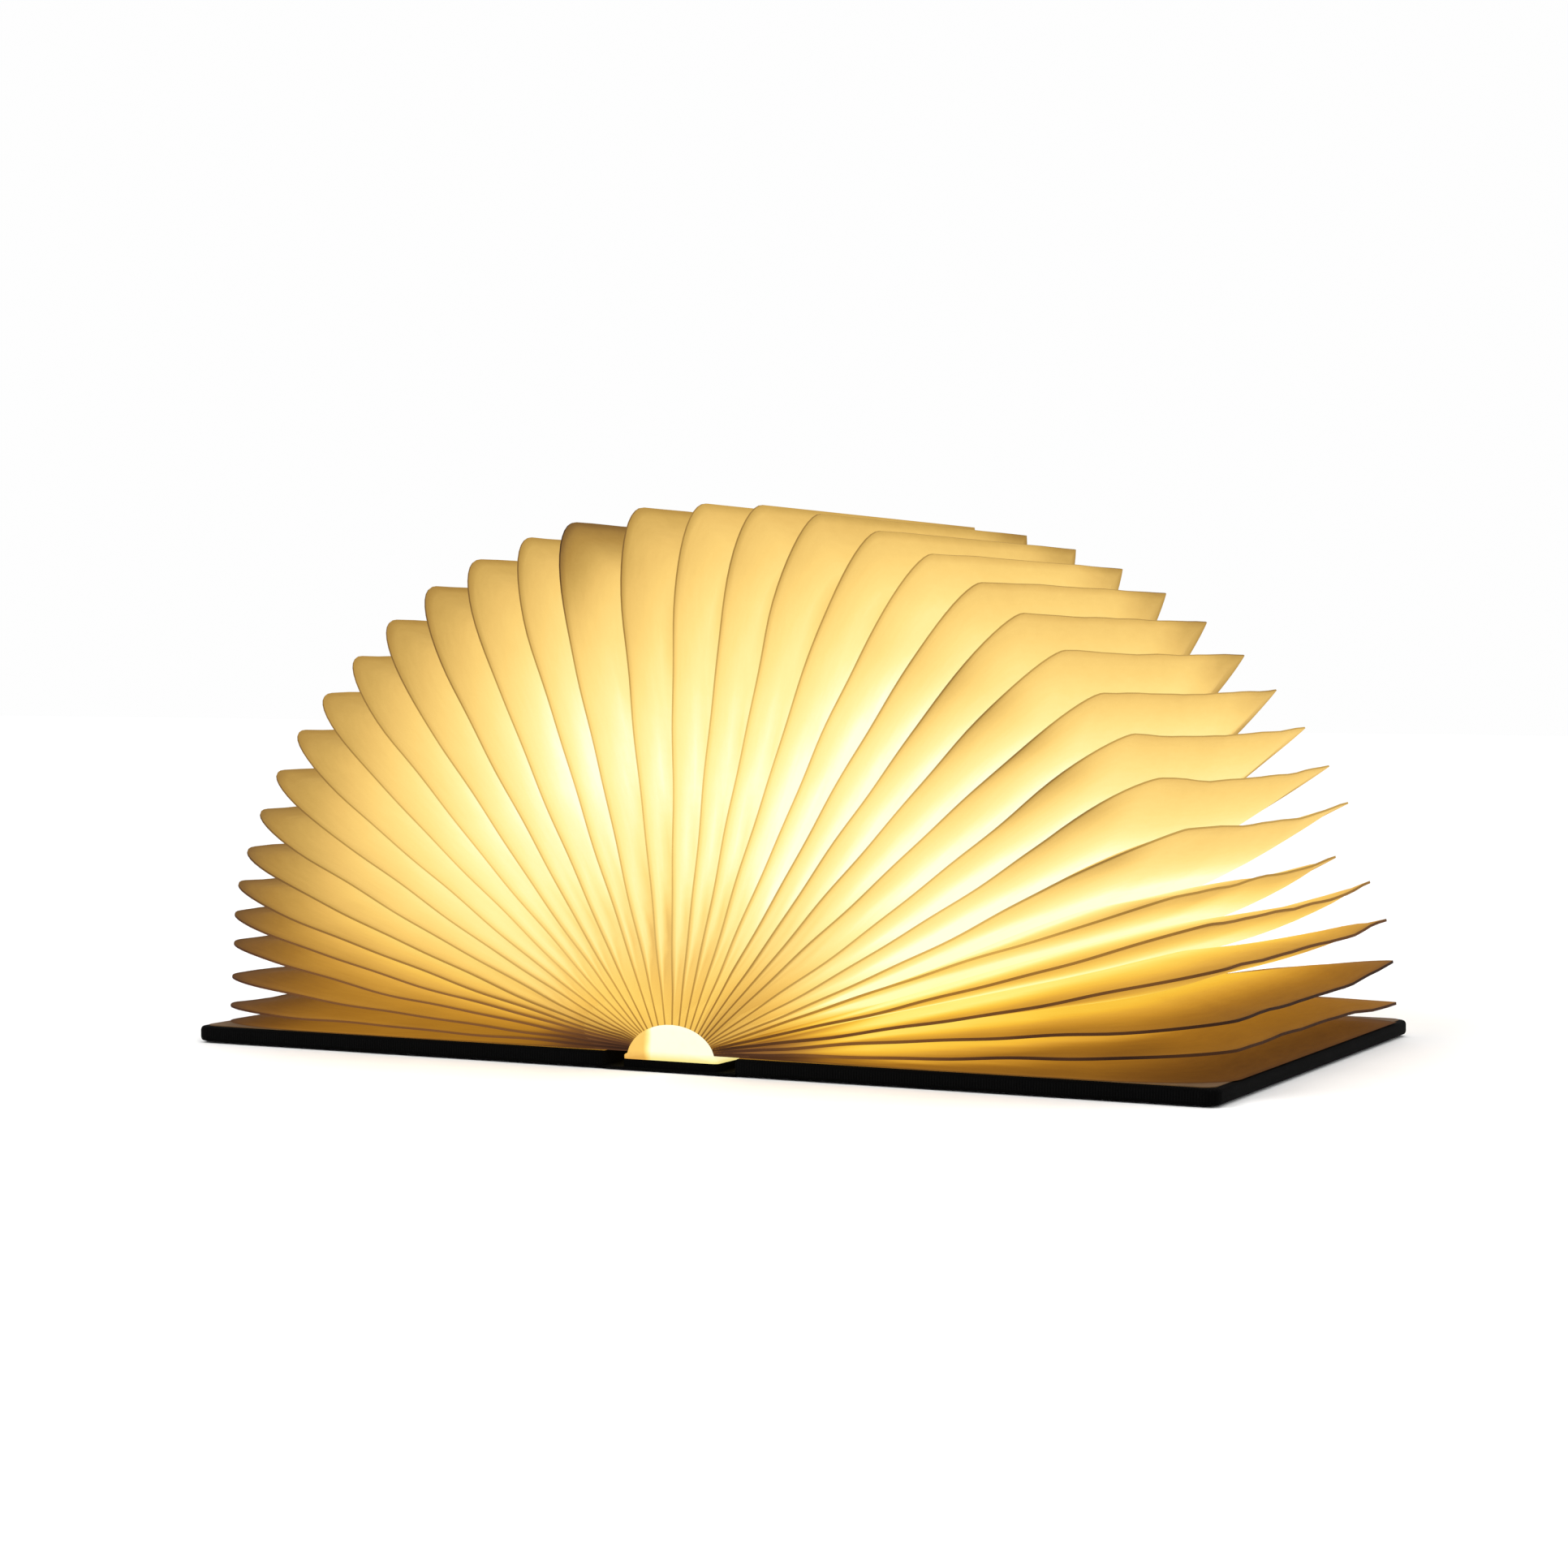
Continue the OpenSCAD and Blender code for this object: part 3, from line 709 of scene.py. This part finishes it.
def hinge_cloth(s, name, node):
    """The strip of cloth over the hinge, where the cover turns."""
    nx, ny = 13, 41      # points across the strip and along it
    verts, uv = [], []
    for z in (0.0, CLOTH_T):
        for x in np.linspace(HINGE_X - HINGE_GAP, HINGE_X + HINGE_GAP, nx):
            for y in np.linspace(-COVER_HALF_L, COVER_HALF_L, ny):
                verts.append((s * x, y, z))
                uv.append((x, y))
    faces = []
    for i in range(nx - 1):
        for k in range(ny - 1):
            a = i * ny + k
            q = (a, a + 1, a + ny + 1, a + ny)
            top = tuple(v + nx * ny for v in reversed(q))
            faces += [q, top] if s > 0 else [tuple(reversed(q)), tuple(reversed(top))]
    for k in (0, ny - 1):
        for i in range(nx - 1):
            a, b = i * ny + k, (i + 1) * ny + k
            q = (a, b, b + nx * ny, a + nx * ny)
            faces.append(q if (k == 0) == (s > 0) else tuple(reversed(q)))
    o = mesh_object(name, np.array(verts) * MM, faces, CLOTH_UV, np.array(uv))
    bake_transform(o)
    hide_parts(node)


hinge_cloth(-1, "hinge_cloth_left", "hinge_strip_left")
hinge_cloth(1, "hinge_cloth_right", "hinge_strip_right")


# ---- light bar -----------------------------------------------------------------------
def bar_piece():
    """Half-round diffuser and its near end in one, with a softly rounded end."""
    def section(inset):
        a, b = DOME_HALF - inset, BAR_H - inset
        f = FOOT_HALF - inset
        lip = FOOT_H - 0.3 * inset
        pts = [(-f, 0.0), (-f, lip - 0.16), (-f + 0.16, lip)]
        t0 = math.degrees(math.asin(min(1, lip / b))) + 2
        pts += [(-a * math.cos(math.radians(t)), b * math.sin(math.radians(t)))
                for t in np.linspace(t0, 180 - t0, 49)]
        return pts + [(f - 0.16, lip), (f, lip - 0.16), (f, 0.0)]
    # along the bar, and how far the section is drawn in there
    ends = [(-BAR_Y, 1.0), (-BAR_Y + 0.06, 0.6), (-BAR_Y + 0.22, 0.26), (-BAR_Y + 0.48, 0.07),
            (-BAR_Y + 0.8, 0.0)]
    ends += [(y, 0.0) for y in np.linspace(-BAR_Y + 4, BAR_Y - CAP_T, 24)]
    rings = [section(i) for _, i in ends]
    n = len(rings[0])
    verts = [(x, y, SPINE_TOP + z) for ring, (y, _) in zip(rings, ends) for x, z in ring]
    faces = []
    for k in range(len(ends) - 1):
        for i in range(n):
            a, b = k * n + i, k * n + (i + 1) % n
            faces.append((a, b, b + n, a + n))
    verts.append((0, -BAR_Y, SPINE_TOP + 2.6))
    c = len(verts) - 1
    faces += [(c, (i + 1) % n, i) for i in range(n)]
    o = mesh_object("light_bar", np.array(verts) * MM, faces, BAR)
    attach(o, "spine_and_light_bar")
    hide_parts("diffuser", "end_cap_near")


bar_piece()

# ---- floor, light and camera ---------------------------------------------------------
def studio_floor():
    """A pale floor; away from the lamp it runs out into the white of the background."""
    m = plain("pale_floor", [(0.3, (246, 246, 245)), (0.7, (250, 250, 249))], 30, 0.95,
              bump=0.02)
    grain = m.b.inputs["Base Color"].links[0].from_socket
    ring = m.new("ShaderNodeVectorMath", operation="LENGTH")
    m.link(m.coords("Object"), ring.inputs[0])
    white = m.span(ring.outputs["Value"], *FLOOR_WHITE)
    m.base(m.mix(white, grain, NOTHING))
    m.glow(m.mix(white, NOTHING, (0.985, 0.985, 0.985, 1)), 1.0)
    corners = [(x * FLOOR_HALF, y * FLOOR_HALF, FLOOR_Z)
               for x, y in ((-1, -1), (1, -1), (1, 1), (-1, 1))]
    return mesh_object("floor", corners, [(0, 1, 2, 3)], m.m)


floor = studio_floor()


def area(name, place, size, power):
    light = bpy.data.lights.new(name, "AREA")
    light.shape, light.size, light.energy = "DISK", size, power
    o = bpy.data.objects.new(name, light)
    bpy.context.scene.collection.objects.link(o)
    o.location = place
    o.rotation_mode = "QUATERNION"
    o.rotation_quaternion = (Vector(LOOK_AT) - o.location).to_track_quat("-Z", "Y")


for light in LIGHTS:
    area(*light)


def studio_world():
    """White to the camera and in reflections; a dimmer white as light on the lamp."""
    world = bpy.data.worlds.new("studio")
    bpy.context.scene.world = world
    world.use_nodes = True
    tree = world.node_tree
    tree.nodes.clear()

    def larger(a, b):
        n = tree.nodes.new("ShaderNodeMath")
        n.operation = "MAXIMUM"
        tree.links.new(a, n.inputs[0])
        tree.links.new(b, n.inputs[1])
        return n.outputs[0]

    def background(colour, strength):
        n = tree.nodes.new("ShaderNodeBackground")
        n.inputs["Color"].default_value = colour
        n.inputs["Strength"].default_value = strength
        return n.outputs[0]

    ray = tree.nodes.new("ShaderNodeLightPath").outputs
    either = larger(ray["Is Camera Ray"],
                    larger(ray["Is Glossy Ray"], ray["Is Transmission Ray"]))
    blend = tree.nodes.new("ShaderNodeMixShader")
    tree.links.new(either, blend.inputs["Fac"])
    tree.links.new(background((0.98, 0.99, 1.0, 1), 0.55), blend.inputs[1])
    tree.links.new(background((0.99, 0.99, 0.99, 1), 1.0), blend.inputs[2])
    out = tree.nodes.new("ShaderNodeOutputWorld")
    tree.links.new(blend.outputs[0], out.inputs["Surface"])


studio_world()

scene = bpy.context.scene
scene.view_settings.view_transform = "Standard"
scene.view_settings.look = "None"
scene.view_settings.exposure = 0
scene.view_settings.gamma = 1


def add_camera():
    """A long lens, low and to the right of the lamp's near end."""
    data = bpy.data.cameras.new("camera")
    data.sensor_width = SENSOR_MM
    data.lens = FOCAL_PX / IMAGE_PX * SENSOR_MM
    data.clip_start, data.clip_end = 0.01, 20
    data.dof.use_dof = False
    camera = bpy.data.objects.new("camera", data)
    scene.collection.objects.link(camera)
    az, down, roll = math.radians(AZIMUTH), math.radians(DOWN), math.radians(ROLL)
    back = np.array([math.sin(az) * math.cos(down), -math.cos(az) * math.cos(down),
                     math.sin(down)])
    right = np.cross(-back, [0, 0, 1])
    right /= np.linalg.norm(right)
    up = np.cross(right, -back)
    right, up = (math.cos(roll) * right + math.sin(roll) * up,
                 -math.sin(roll) * right + math.cos(roll) * up)
    place = Matrix(np.column_stack([right, up, back]).tolist()).to_4x4()
    place.translation = EYE
    camera.matrix_world = place
    scene.camera = camera


add_camera()
